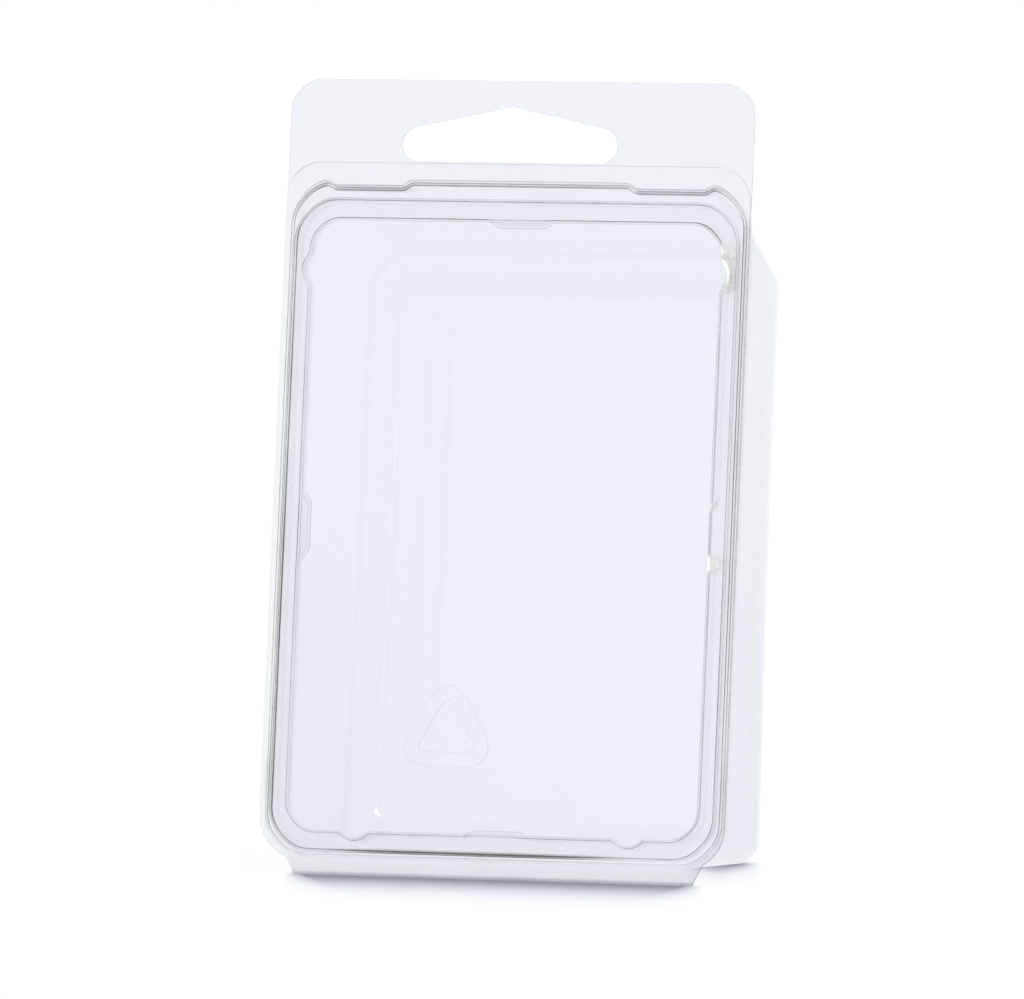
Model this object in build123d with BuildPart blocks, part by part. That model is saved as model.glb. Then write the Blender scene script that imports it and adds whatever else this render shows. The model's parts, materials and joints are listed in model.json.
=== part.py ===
"""Clear clamshell blister pack: a deep back tray and a plug lid, folded from one thermoformed sheet.

Every size is in millimetres. Heights are taken along the flange, upwards from the fold, and depths are
taken square to the flange, backwards from the plane where the two flanges meet.
"""
from build123d import *
import math
import os

# Sheet and fold
sheet = 0.4
flange_gap = 0.1
fold_radius = 0.3
hinge_inset = 5.0
hinge_shift = 0.5
hinge_flare = 1.1
hinge_drop = 2.2
hinge_fillet = 1.0

# Flanges
flange_width = 68.8
lid_height = 101.3
lid_corner = 5.2
foot_corner = 6.0

# Hang tab and its hole
tab_rise = 11.9
tab_corner = 4.7
hole_width = 32.0
hole_height = 7.9
hole_end_radius = 2.5
hole_peak_radius = 1.0
hole_clear = 0.3
hole_shift = -1.6

# Tray opening, with a straight lip that takes the plug and two lugs at its head
rim_side = 1.05
rim_top = 3.0
rim_foot = 0.8
opening_corner = 6.2
lip_depth = 3.8
head_lug_place = 22.35
head_lug_length = 9.7
head_lug_slope = 1.7
head_lug_reach = 0.8

# Tray body: drafted walls down to the shoulder, then a bevel round the back panel
shoulder_depth = 28.0
side_draft = 3.0
top_draft = 7.1
foot_draft = 2.1
shoulder_cut = 3.6
shoulder_foot_cut = 2.0
bevel_depth = 5.3
bevel_side = 3.1
bevel_top = 5.4
bevel_foot = 5.1
panel_cut = 1.2

# Lid: the plug groove round its panel
plug_fit = 0.3
plug_head_play = 2.0
plug_corner = 6.3
groove_depth = 3.0
groove_side = 2.0
groove_top = 2.4
groove_foot = 2.3
panel_corner = 4.7

# Pockets under the middle of the panel's sides, and snap bumps near its corners
pocket_length = 6.0
pocket_slope = 2.2
pocket_reach = 1.0
bump_radius = 2.9
bump_reach = 1.0
bump_drop = 7.2
bump_inset = 10.2

# Worked-out sizes
hinge_width = flange_width - 2 * hinge_inset
hinge_height = hinge_drop + foot_corner / 2
hinge_top_width = hinge_width + 2 * hinge_height * hinge_flare / hinge_drop
hinge_angle = 90 + math.degrees(math.atan2(hinge_flare, hinge_drop))
opening_width = flange_width - 2 * rim_side
opening_low = hinge_drop + rim_foot
opening_high = lid_height - rim_top
tab_height = lid_height + tab_rise
tray_depth = shoulder_depth + bevel_depth
plug_width = opening_width - 2 * (plug_fit + sheet)
plug_low = opening_low + plug_fit + sheet
plug_high = opening_high - plug_head_play - sheet
panel_width = plug_width - 2 * groove_side
panel_low = plug_low + groove_foot
panel_high = plug_high - groove_top
shoulder_width = opening_width + 2 * sheet - 2 * side_draft
shoulder_low = opening_low - sheet + foot_draft
shoulder_high = opening_high + sheet - top_draft
back_high = shoulder_high - bevel_top

# The pack leans back until its rounded fold and the tray's rear bottom edge both touch the ground
fold_depth = sheet - fold_radius
rest_run = shoulder_depth - fold_depth
rest_rise = shoulder_low - fold_radius
lean = math.atan2(rest_rise, rest_run) + math.asin(fold_radius / math.hypot(rest_run, rest_rise))
rest_height = fold_radius + fold_depth * math.sin(lean) - fold_radius * math.cos(lean)
front_reach = (flange_gap + sheet - fold_radius) * math.cos(lean) + fold_radius * (1 - math.sin(lean))
rear_reach = tray_depth * math.cos(lean) + back_high * math.sin(lean)
pack = Plane(
    origin=(0, (front_reach - rear_reach) / 2, rest_height),
    x_dir=(1, 0, 0),
    z_dir=(0, -math.cos(lean), math.sin(lean)),
)
upwards = Axis(pack.origin, pack.y_dir)
forwards = Axis(pack.origin, pack.z_dir)


def rounded_field(width, low, high, corner):
    """Upright rectangle with rounded corners, between two heights above the fold."""
    with BuildSketch() as field:
        with Locations((0, (low + high) / 2)):
            RectangleRounded(width, high - low, corner)
    return field.sketch


def cut_field(width, low, high, top_cut, foot_cut):
    """Upright rectangle with its corners cut off, between two heights above the fold."""
    with BuildSketch() as field:
        with Locations((0, (low + high) / 2)):
            Rectangle(width, high - low)
        chamfer(field.vertices().group_by(Axis.Y)[-1], top_cut)
        chamfer(field.vertices().group_by(Axis.Y)[0], foot_cut)
    return field.sketch


def mouth_field(inset):
    """Tray outline at the flange and along the lip, a given distance inside its outer skin."""
    out = sheet - inset
    return rounded_field(opening_width + 2 * out, opening_low - out, opening_high + out, opening_corner + out)


def shoulder_field(inset):
    """Tray outline where the drafted walls end, a given distance inside its outer skin."""
    width = shoulder_width - 2 * inset
    return cut_field(width, shoulder_low + inset, shoulder_high - inset, shoulder_cut, shoulder_foot_cut)


def back_field(inset):
    """Outline of the back panel, with the bevel round it kept parallel when it is moved inwards."""
    share = (bevel_depth - inset) / bevel_depth
    width = shoulder_width - 2 * (inset + share * bevel_side)
    low = shoulder_low + inset + share * bevel_foot
    high = shoulder_high - inset - share * bevel_top
    return cut_field(width, low, high, panel_cut, panel_cut)


def flange_field(top, top_corner):
    """Flange outline up to a given height, with the narrower hinge strip below it."""
    with BuildSketch() as field:
        with Locations((0, hinge_drop)):
            Rectangle(flange_width, top - hinge_drop, align=(Align.CENTER, Align.MIN))
        fillet(field.vertices().group_by(Axis.Y)[-1], top_corner)
        fillet(field.vertices().group_by(Axis.Y)[0], foot_corner)
        with Locations((hinge_shift, 0)):
            Trapezoid(hinge_top_width, hinge_height, hinge_angle, align=(Align.CENTER, Align.MIN))
        notches = field.vertices(Select.LAST).sort_by(Axis.Y)[-2:]
        fillet(notches, hinge_fillet)
    return field.sketch


def head_lug_field(raise_by):
    """Two lugs that reach down into the tray's mouth from its head, raised by a given distance."""
    lug_base = head_lug_length + 2 * head_lug_slope
    lug_angle = math.degrees(math.atan2(head_lug_reach, head_lug_slope))
    with BuildSketch() as field:
        with Locations(
            Location((-head_lug_place, opening_high + raise_by), 180),
            Location((head_lug_place, opening_high + raise_by), 180),
        ):
            Trapezoid(lug_base, head_lug_reach, lug_angle, align=(Align.CENTER, Align.MIN))
    return field.sketch


def peg_hole_field():
    """Hang hole: a flat-bottomed slot with a raised peak, drawn tight round three circles."""
    low = lid_height + hole_clear
    reach = hole_width / 2 - hole_end_radius
    with BuildSketch() as field:
        with Locations((hole_shift - reach, low + hole_end_radius), (hole_shift + reach, low + hole_end_radius)):
            Circle(hole_end_radius)
        with Locations((hole_shift, low + hole_height - hole_peak_radius)):
            Circle(hole_peak_radius)
        make_hull()
    return field.sketch


def panel_field():
    """Lid panel inside the groove, with four half-round bumps standing out from its sides."""
    half_width = panel_width / 2
    bump_depth = bump_radius - bump_reach
    with BuildSketch() as field:
        add(rounded_field(panel_width, panel_low, panel_high, panel_corner))
        with Locations(
            (-half_width + bump_depth, panel_high - bump_drop),
            (half_width - bump_depth, panel_high - bump_drop),
            (-half_width + bump_inset, panel_low + bump_depth),
            (half_width - bump_inset, panel_low + bump_depth),
        ):
            Circle(bump_radius)
    return field.sketch


def pocket_field():
    """Pockets that widen the groove inwards behind the panel, at the middle of its four sides."""
    middle = (panel_low + panel_high) / 2
    pocket_base = pocket_length + 2 * pocket_slope
    pocket_angle = math.degrees(math.atan2(pocket_reach, pocket_slope))
    with BuildSketch() as field:
        with Locations(
            Location((0, panel_low)),
            Location((panel_width / 2, middle), 90),
            Location((0, panel_high), 180),
            Location((-panel_width / 2, middle), 270),
        ):
            Trapezoid(pocket_base, pocket_reach, pocket_angle, align=(Align.CENTER, Align.MIN))
    return field.sketch


# Back tray
with BuildPart() as back_tray:
    # The pressed form, one sheet thick: the outside first, then the hollow
    for inset, mode in ((0, Mode.ADD), (sheet, Mode.SUBTRACT)):
        with BuildSketch(pack):
            add(mouth_field(inset))
        extrude(amount=-lip_depth, mode=mode)
        with BuildSketch(pack.offset(-lip_depth)):
            add(mouth_field(inset))
        with BuildSketch(pack.offset(-shoulder_depth)):
            add(shoulder_field(inset))
        loft(ruled=True, mode=mode)
        with BuildSketch(pack.offset(-shoulder_depth)):
            add(shoulder_field(inset))
        with BuildSketch(pack.offset(inset - tray_depth)):
            add(back_field(inset))
        loft(ruled=True, mode=mode)
    # Flange with the hang tab and the rear half of the fold
    with BuildSketch(pack):
        add(flange_field(tab_height, tab_corner))
        add(mouth_field(sheet), mode=Mode.SUBTRACT)
    extrude(amount=-sheet)
    # Lugs at the head of the mouth, one sheet thick and open behind
    with BuildSketch(pack):
        add(head_lug_field(0))
    extrude(amount=-lip_depth)
    with BuildSketch(pack.offset(-sheet)):
        add(head_lug_field(sheet))
    extrude(amount=2 * sheet - lip_depth, mode=Mode.SUBTRACT)
    # Hang hole
    with BuildSketch(pack):
        add(peg_hole_field())
    extrude(amount=-sheet, mode=Mode.SUBTRACT)
    # Rounded rear edge of the fold
    fold_edges = back_tray.edges().filter_by(Axis.X).group_by(upwards)[0]
    fillet(fold_edges.sort_by(forwards)[0], fold_radius)

# Front lid
lid_plane = pack.offset(flange_gap)
with BuildPart() as front_lid:
    with BuildSketch(lid_plane):
        add(flange_field(lid_height, lid_corner))
    extrude(amount=sheet)
    # Groove pressed backwards: its walls and floor, then the channel
    with BuildSketch(lid_plane):
        add(rounded_field(plug_width + 2 * sheet, plug_low - sheet, plug_high + sheet, plug_corner + sheet))
        add(offset(panel_field(), amount=-sheet, mode=Mode.PRIVATE), mode=Mode.SUBTRACT)
        add(offset(pocket_field(), amount=sheet, kind=Kind.INTERSECTION, mode=Mode.PRIVATE))
    extrude(amount=-groove_depth)
    with BuildSketch(lid_plane.offset(sheet)):
        add(rounded_field(plug_width, plug_low, plug_high, plug_corner))
        add(panel_field(), mode=Mode.SUBTRACT)
    extrude(amount=-groove_depth, mode=Mode.SUBTRACT)
    # Pockets behind the panel, which keep its front edge straight
    with BuildSketch(lid_plane):
        add(pocket_field())
    extrude(amount=sheet - groove_depth, mode=Mode.SUBTRACT)
    # Rounded front edge of the fold
    fold_edges = front_lid.edges().filter_by(Axis.X).group_by(upwards)[0]
    fillet(fold_edges.sort_by(forwards)[-1], fold_radius)

os.makedirs("parts", exist_ok=True)
back_tray.part.label = "back_tray"
export_step(back_tray.part, "parts/back_tray.step")
front_lid.part.label = "front_lid"
export_step(front_lid.part, "parts/front_lid.step")
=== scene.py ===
# %% [markdown]
# # Clear clamshell pack
# A thin clear plastic sheet is heated and drawn into two forms side by side, a deep tray and a shallow lid.
# The strip between them is folded, so the lid swings up and its groove plugs into the mouth of the tray.
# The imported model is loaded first, because every piece here is worked out from its fold line and its lean.

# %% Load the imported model
import json
import math

import bpy
import numpy as np
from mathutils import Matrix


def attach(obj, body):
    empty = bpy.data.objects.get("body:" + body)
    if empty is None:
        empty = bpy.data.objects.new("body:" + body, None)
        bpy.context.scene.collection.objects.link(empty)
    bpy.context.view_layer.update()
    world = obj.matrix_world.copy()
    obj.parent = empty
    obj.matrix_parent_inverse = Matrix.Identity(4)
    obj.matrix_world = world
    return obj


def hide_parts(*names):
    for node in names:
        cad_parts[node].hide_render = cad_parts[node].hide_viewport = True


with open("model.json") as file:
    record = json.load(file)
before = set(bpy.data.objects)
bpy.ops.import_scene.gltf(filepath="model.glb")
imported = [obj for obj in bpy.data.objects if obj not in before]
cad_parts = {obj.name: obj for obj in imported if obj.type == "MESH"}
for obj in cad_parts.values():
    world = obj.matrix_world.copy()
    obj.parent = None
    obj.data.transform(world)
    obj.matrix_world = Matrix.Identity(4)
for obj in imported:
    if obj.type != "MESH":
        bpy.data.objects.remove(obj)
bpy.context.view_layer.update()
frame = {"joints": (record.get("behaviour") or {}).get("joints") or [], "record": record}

# %% [markdown]
# ## The pack's own axes
# The pack leans back a little and stands on its fold and on the tray's rear edge. Its forms are simplest in
# axes of their own: u to the right, v up the flange from the fold, and z out of the front, all in millimetres.
# The record gives the way the back panel faces and the place of the fold, which is all that these axes need.

# %% Axes from the record
MM = 0.001
FLANGE_GAP = 0.1
mounts = {mount["name"]: mount for mount in frame["record"]["mounts"]}
front_way = -np.array(mounts["back_panel"]["axis"], float)
front_way /= np.linalg.norm(front_way)
right_way = np.array([1.0, 0.0, 0.0])
up_way = np.cross(front_way, right_way)
fold_line = np.array(frame["joints"][0]["pos_m"], float)
pack_origin = fold_line - front_way * FLANGE_GAP / 2 * MM


def to_world(points):
    """Pack axes in millimetres to the shared frame in metres: origin plus u, v and z times their ways."""
    return pack_origin + points * MM @ np.array([right_way, up_way, front_way])


print("lean in degrees:", round(math.degrees(math.atan2(up_way[1], up_way[2])), 3))

# %% [markdown]
# ## Outlines that match point for point
# Every level of the forms is a rectangle with its corners either rounded or cut off. Both are octagons whose
# corners are softened, so one function draws them all, with the same number of points on each side and each
# corner. Matching points can then be joined from level to level, which is how a sheet is stretched over a
# mould.

# %% Points round a ring
SIDE_STEPS = 150
END_STEPS = 120
CUT_STEPS = 4
SOFT_STEPS = 7
CORNER_STEPS = 2 * (SOFT_STEPS + 1) + CUT_STEPS
AROUND = 2 * (SIDE_STEPS + END_STEPS) + 4 * CORNER_STEPS
RIGHT = slice(0, SIDE_STEPS)
TOP = slice(SIDE_STEPS + CORNER_STEPS, SIDE_STEPS + CORNER_STEPS + END_STEPS)
LEFT = slice(TOP.stop + CORNER_STEPS, TOP.stop + CORNER_STEPS + SIDE_STEPS)
FOOT_LEFT = slice(LEFT.stop, LEFT.stop + CORNER_STEPS)
BOTTOM = slice(FOOT_LEFT.stop, FOOT_LEFT.stop + END_STEPS)
FOOT_RIGHT = slice(BOTTOM.stop, BOTTOM.stop + CORNER_STEPS)
run_steps = [SIDE_STEPS, CUT_STEPS, END_STEPS, CUT_STEPS] * 2
print("points round each ring:", AROUND)

# %% Softened octagon
CIRCLE_CUT = 2 - math.sqrt(2)
FULL_SOFT = 0.92
CIRCLE_SOFT = FULL_SOFT * (math.sqrt(2) - 1)


def toward(start, end):
    """Unit vectors from each start point to its end point."""
    way = end - start
    return way / np.linalg.norm(way, axis=-1, keepdims=True)


def bend_curve(before, corner, after, soft, steps):
    """Quadratic curve that leaves one run and joins the next, `soft` mm to each side of their corner."""
    t = np.linspace(0, 1, steps + 1).reshape((-1,) + (1,) * np.ndim(corner))
    start = corner + soft * toward(corner, before)
    end = corner + soft * toward(corner, after)
    return (1 - t) ** 2 * start + 2 * t * (1 - t) * corner + t ** 2 * end


def cut_ring(width, low, high, cuts, softs):
    """Octagon from a rectangle with its corners cut off, anticlockwise from the foot of its right side.
    cuts and softs give the top and the foot corners: the length cut from each side, and the softening."""
    half, (top_cut, foot_cut), (top_soft, foot_soft) = width / 2, cuts, softs
    corners = np.array([
        (half, low + foot_cut), (half, high - top_cut), (half - top_cut, high), (top_cut - half, high),
        (-half, high - top_cut), (-half, low + foot_cut), (foot_cut - half, low), (half - foot_cut, low),
    ])
    soft = [foot_soft] + [top_soft] * 4 + [foot_soft] * 3
    befores, afters = np.roll(corners, 1, axis=0), np.roll(corners, -1, axis=0)
    curves = [bend_curve(*run, SOFT_STEPS) for run in zip(befores, corners, afters, soft)]
    parts = []
    for k, steps in enumerate(run_steps):
        curve = curves[(k + 1) % 8]
        start, end = curves[k][-1], curve[0]
        share = (np.arange(steps) + 1)[:, None] / (steps + 1)
        parts += [start + (end - start) * share, curve]
    return np.concatenate(parts)


def round_ring(width, low, high, top_corner, foot_corner):
    """Rectangle with round corners: for a radius r, the octagon cut by (2 - root 2) r and fully softened."""
    radii = np.array([top_corner, foot_corner])
    return cut_ring(width, low, high, CIRCLE_CUT * radii, CIRCLE_SOFT * radii)


print("length cut for a round corner, in radii:", round(CIRCLE_CUT, 4))

# %% [markdown]
# ## The flange outline
# The flange is a flat rim with round corners, cut out of the sheet with a steel rule. At its foot it narrows
# to the strip that is folded. The two foot corners are worked out as one line of arcs and then divided evenly,
# so that they have as many points as any other corner.

# %% Lines and arcs
ARC_STEPS = 24


def even_points(line, count):
    """The same line with `count` points at equal lengths along it."""
    along = np.concatenate([[0], np.cumsum(np.linalg.norm(np.diff(line, axis=0), axis=1))])
    places = np.linspace(0, along[-1], count)
    return np.stack([np.interp(places, along, line[:, k]) for k in range(line.shape[1])], axis=1)


def arc(centre, radius, start, end):
    """Circular arc between two angles in degrees: its centre plus the radius times cosine and sine."""
    angle = np.radians(np.linspace(start, end, ARC_STEPS))
    return np.array(centre) + radius * np.stack([np.cos(angle), np.sin(angle)], axis=1)


def bearing(way):
    """Angle of a direction in degrees."""
    return math.degrees(math.atan2(way[1], way[0]))


print("points in each arc:", ARC_STEPS)

# %% Flange ring
SHEET = 0.4
FLANGE_WIDTH = 68.8
LID_HEIGHT = 101.3
TAB_HEIGHT = 113.2
LID_CORNER = 5.2
TAB_CORNER = 4.7
FOOT_CORNER = 6.0
HINGE_HALF = 29.4
HINGE_SHIFT = 0.5
HINGE_FLARE = 1.1
HINGE_DROP = 2.2
HINGE_FILLET = 1.0
FOLD_LOW = SHEET / 2


def foot_line(side):
    """One foot corner of the flange, from its side inwards: the big arc, a small hollow arc, and the flared
    edge of the hinge strip. The small circle touches the big one from outside and the strip's edge."""
    centre = np.array([FLANGE_WIDTH / 2 - FOOT_CORNER, HINGE_DROP + FOOT_CORNER])
    start = np.array([HINGE_HALF + side * HINGE_SHIFT, 0])
    rise = toward(np.zeros(2), np.array([HINGE_FLARE, HINGE_DROP]))
    out = np.array([rise[1], -rise[0]])
    gap = start + HINGE_FILLET * out - centre
    reach = -gap @ rise - math.sqrt((gap @ rise) ** 2 - gap @ gap + (FOOT_CORNER + HINGE_FILLET) ** 2)
    notch = centre + gap + reach * rise
    big = arc(centre, FOOT_CORNER, 0, bearing(notch - centre))
    small = arc(notch, HINGE_FILLET, bearing(centre - notch), bearing(-out) % 360)
    foot = start + rise * (FOLD_LOW / rise[1])
    return np.concatenate([big, small[1:], foot[None]]) * [side, 1]


def flange_ring(top, top_corner):
    """Flange outline up to a given height, narrowed at its foot to the strip of the fold."""
    ring = round_ring(FLANGE_WIDTH, HINGE_DROP, top, top_corner, FOOT_CORNER)
    ring[FOOT_LEFT] = even_points(foot_line(-1), CORNER_STEPS)
    ring[FOOT_RIGHT] = even_points(foot_line(1), CORNER_STEPS)[::-1]
    strip_ends = ring[FOOT_LEFT][-1, 0], ring[FOOT_RIGHT][0, 0]
    ring[BOTTOM, 0] = np.linspace(*strip_ends, END_STEPS + 2)[1:-1]
    ring[BOTTOM, 1] = FOLD_LOW
    return ring


print("flange in mm:", np.ptp(flange_ring(TAB_HEIGHT, TAB_CORNER), axis=0).round(2))

# %% [markdown]
# ## From outlines to a bent sheet
# A drawn sheet goes flat, turns over an edge, runs down a wall and turns again. Each turn is softened the same
# way as an outline's corner, here for all the points of a ring at once. Each row also keeps a painted shade
# weight: a bend throws the light aside and looks dark, so that dark is painted along it as grey, and that is
# where the eye finds the shape of a clear pack.

# %% Rows of a softened section
BEND_STEPS = 10
CREASE_SPREAD = 0.3
FLAT_AT = 1.3
EDGE_INSETS = (0.0, 0.02, 0.07, 0.14, 0.25, 0.45, 0.7)


def at_depth(ring, z):
    """A flat ring placed at height z in front of the plane where the flanges meet."""
    return np.column_stack([ring, np.full(len(ring), z)])


def bent_rows(rings, softs, creases, places, runs):
    """Rows of the sheet from ring to ring: each inner ring becomes a soft bend with a flat row on both sides.
    Painted shade weights go from the end of one run to the start of the next, and rise as a bell curve round
    the given place across the bend, which is 0 at its start and 1 at its end."""
    rows, weights = [], []
    t = np.linspace(0, 1, BEND_STEPS + 1)[:, None]
    for k, (soft, painted_bend_shade, place) in enumerate(zip(softs, creases, places), start=1):
        before, ring, after = rings[k - 1:k + 2]
        soft = np.reshape(soft, (-1, 1))
        flat_before = ring + FLAT_AT * soft * toward(ring, before)
        flat_after = ring + FLAT_AT * soft * toward(ring, after)
        rows += [flat_before[None], bend_curve(before, ring, after, soft, BEND_STEPS), flat_after[None]]
        leaving, joining = runs[k - 1][1], runs[k][0]
        level = leaving + (joining - leaving) * t
        line = level + (painted_bend_shade - level) * np.exp(-((t - place) / CREASE_SPREAD) ** 2)
        parts = np.reshape(leaving, (1, -1)), line, np.reshape(joining, (1, -1))
        weights += [np.broadcast_to(part, (len(part), len(ring))) for part in parts]
    return np.concatenate(rows), np.concatenate(weights)


def edge_rows(edge, inner):
    """Close rows along a cut edge, so that its corner stays crisp in the shading."""
    return np.stack([edge + inset * toward(edge, inner) for inset in EDGE_INSETS])


def panel_rows(ring, shares):
    """Rows that fill a flat panel by drawing its ring in towards the middle."""
    middle = (ring.max(axis=0) + ring.min(axis=0)) / 2
    return np.stack([middle + (ring - middle) * share for share in shares])


print("rows in each bend:", BEND_STEPS + 3)

# %% Weights over a ring and over the rows
def by_side(ring, right, top, left, foot, corners=(1, 1)):
    """Weights that differ from side to side: each side's own where the outline faces that way, blended by the
    squares of the two parts of its facing direction. On the diagonals they are multiplied by corners, the top
    ones by its first number and the foot ones by its second."""
    along = np.roll(ring, -1, axis=0) - np.roll(ring, 1, axis=0)
    out = along[:, [1, 0]] * [1, -1]
    out /= np.linalg.norm(out, axis=1, keepdims=True)
    sides = np.where(out > 0, [right, top], [left, foot])
    corner = np.where(out[:, 1] > 0, *corners)
    return (sides * out ** 2).sum(axis=1) * (1 + (corner - 1) * 4 * (out ** 2).prod(axis=1))


def smooth_step(share):
    """Rises from 0 to 1 without corners: three times the square less twice the cube."""
    share = np.clip(share, 0, 1)
    return share ** 2 * (3 - 2 * share)


def spots(rows, places):
    """Bell curves round a few places, each given by its u, v, width, height and weight."""
    weights = np.zeros(rows.shape[:2])
    for across, up, width, height, weight in places:
        apart = ((rows[..., 0] - across) / width) ** 2 + ((rows[..., 1] - up) / height) ** 2
        weights += weight * np.exp(-apart)
    return weights


print("smooth step at a quarter:", smooth_step(0.25))

# %% [markdown]
# ## A closed shell from the rows
# The rows are the middle of the sheet. Half the thickness is added along the surface's normal on each side,
# and the two skins are joined by a rim along every cut edge. A Solidify modifier could do this too, but
# building the shell here keeps the rim apart, so that the cut edge can have a finish of its own.

# %% New piece
def new_piece(name, points, faces, traits):
    """Smooth mesh object at the origin. points are in the pack's axes, and traits are named weights, one for
    every point."""
    mesh = bpy.data.meshes.new(name)
    mesh.from_pydata(to_world(points).tolist(), [], faces)
    mesh.shade_smooth()
    for trait, weights in traits.items():
        layer = mesh.attributes.new(trait, "FLOAT", "POINT")
        layer.data.foreach_set("value", weights.astype(np.float32))
    piece = bpy.data.objects.new(name, mesh)
    bpy.context.scene.collection.objects.link(piece)
    print(name, "faces:", len(faces))
    return piece


def strip(first, second):
    """Quads between two lines of vertex numbers."""
    return np.stack([first[:-1], first[1:], second[1:], second[:-1]], axis=1)


print("quads in a strip of three points:", len(strip(np.arange(3), np.arange(3, 6))))

# %% Shell builder
SHARP_ANGLE = math.radians(50)


def sheet_normals(rows, level):
    """Unit normals towards the front: the cross product of the slopes round the rings and across the rows.
    Where the sheet lies flat at the given level they are straight forwards."""
    across = np.gradient(rows, axis=0)
    around = np.roll(rows, -1, axis=1) - np.roll(rows, 1, axis=1)
    normal = np.cross(around, across)
    normal /= np.linalg.norm(normal, axis=-1, keepdims=True)
    normal[np.isclose(rows[..., 2], level)] = 0, 0, 1
    return normal


def shell(name, rows, level, traits, slit=None):
    """Closed sheet from its middle rows, outermost first, with its last row closed by a flat cap. level is the
    height of its flat flange, and traits are named weights, one for every point of the rows. slit is (row,
    first column, last column): that row and the next are one line except between those columns, where they
    part and leave a hole."""
    levels, around = rows.shape[:2]
    offset = sheet_normals(rows, level) * SHEET / 2
    points = np.concatenate([(rows + offset).reshape(-1, 3), (rows - offset).reshape(-1, 3)])
    number = np.arange(levels * around).reshape(levels, around)
    lines = list(range(levels - 1))
    if slit:
        row, first, last = slit
        column = np.arange(around)
        joined = (column <= first) | (column >= last)
        number[row + 1, joined] = number[row, joined]
        lines.remove(row)
    ring = np.concatenate([number, number[:, :1]], axis=1)
    back = levels * around
    skin = np.concatenate([strip(ring[k], ring[k + 1]) for k in lines])
    rims = [strip(ring[0] + back, ring[0])]
    if slit:
        hole_high, hole_low = ring[row, first:last + 1], ring[row + 1, first:last + 1]
        rims += [strip(hole_high + back, hole_high)[:, ::-1], strip(hole_low + back, hole_low)]
    quads = np.concatenate([skin, skin[:, ::-1] + back] + rims)
    caps = [ring[-1, :-1], (ring[-1, :-1] + back)[::-1]]
    used = np.unique(np.concatenate([quads.ravel()] + caps))
    renumber = np.zeros(len(points), int)
    renumber[used] = np.arange(len(used))
    faces = renumber[quads].tolist() + [renumber[cap].tolist() for cap in caps]
    both_skins = {trait: np.tile(weights.ravel(), 2)[used] for trait, weights in traits.items()}
    piece = new_piece(name, points[used], faces, both_skins)
    is_rim = np.zeros(len(faces), np.int32)
    is_rim[2 * len(skin):len(quads)] = 1
    is_rim[2 * len(skin):][BOTTOM] = 0
    piece.data.polygons.foreach_set("material_index", is_rim)
    piece.data.set_sharp_from_angle(angle=SHARP_ANGLE)
    return piece


print("sheet in mm:", SHEET)

# %% [markdown]
# ## The fold and the cut edges
# The hinge is the sheet itself, bent through half a turn at the foot of both flanges. Each half takes a
# quarter turn, and they meet on the joint's own line, so that the bend stays closed while the lid swings. The
# flanges' cut edges get painted shade, more towards the right and at the top than on the left. The fold's
# painted shade and the edges' are weights on the points too, because a weight follows the sheet wherever it
# is bent.

# %% Fold and burr
FOLD_TURN = 0.25
# Painted shade along the fold's line and, more faintly, over the hinge strip
FOLD_LINE, STRIP_LINE, STRIP_FADE = 0.12, 0.04, 0.8
# Painted shade on the cut edges: least on the left, growing towards the right and at the top
EDGE_SHADE_LEAST, EDGE_SHADE_RIGHT, EDGE_SHADE_FADE = 0.1, 0.8, 3.0


def folded(rows, way):
    """Moves the foot of a flange along a quarter circle towards the other flange. way is 1 forwards and -1
    backwards."""
    drop = np.clip(FOLD_LOW + FOLD_TURN - rows[..., 1], 0, FOLD_TURN)
    turned = rows.copy()
    turned[..., 2] += way * (FOLD_TURN - np.sqrt(FOLD_TURN ** 2 - drop ** 2))
    return turned


def fold_bend_shade(rows):
    """Painted shade weight of the fold: most along the joint's line, and a little over the whole strip."""
    turn = 1 - smooth_step((rows[..., 1] - FOLD_LOW) / (2 * FOLD_TURN))
    strip_share = smooth_step((HINGE_DROP + STRIP_FADE - rows[..., 1]) / STRIP_FADE)
    return FOLD_LINE * turn + STRIP_LINE * strip_share


def painted_edge_shade(rows, head):
    """Weight of the painted shade on the cut edges: it grows towards the right side, and is `head` more than
    the least at the top."""
    right = EDGE_SHADE_RIGHT * smooth_step(0.5 + rows[..., 0] / FLANGE_WIDTH)
    top = smooth_step((rows[..., 1] - LID_HEIGHT + EDGE_SHADE_FADE) / EDGE_SHADE_FADE)
    return EDGE_SHADE_LEAST + right + (head - right) * top


print("fold radius in mm:", FOLD_TURN + SHEET / 2)

# %% [markdown]
# ## Front lid
# A flat flange, a groove pressed backwards that plugs into the tray, and a flat panel inside it. Half-round
# bumps near the panel's corners bite on the tray's lip. Behind the middle of each side the groove is widened
# to a pocket, while the panel's front edge stays straight. Both are pushes of an outline along its sides: the
# bumps move the whole wall, and the pockets only its foot.

# %% Lid outlines
LID_MIDDLE = FLANGE_GAP + SHEET / 2
GROOVE_DEPTH = 3.0
PLUG_HALF, PLUG_LOW, PLUG_HIGH, PLUG_CORNER = 32.8, 3.5, 96.1, 6.4
PANEL_HALF, PANEL_LOW, PANEL_HIGH, PANEL_CORNER = 30.5, 6.15, 93.3, 4.6
WALL_DRAFT = 0.2
POCKET_LENGTH, POCKET_SLOPE, POCKET_REACH = 6.0, 2.2, 1.0
BUMP_RADIUS, BUMP_REACH, BUMP_DROP, BUMP_INSET = 2.9, 1.0, 7.2, 10.2


def lug(place, length, slope, reach):
    """Push of a given reach: full along its length, with smooth ramps of its slope's length at both ends."""
    return reach * smooth_step((length / 2 + slope - np.abs(place)) / slope)


def bump(place):
    """Swell outwards: what a circle shows beyond the panel's side."""
    rise = np.sqrt(np.clip(BUMP_RADIUS ** 2 - place ** 2, 0, None)) - (BUMP_RADIUS - BUMP_REACH)
    return np.clip(rise, 0, None)


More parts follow.
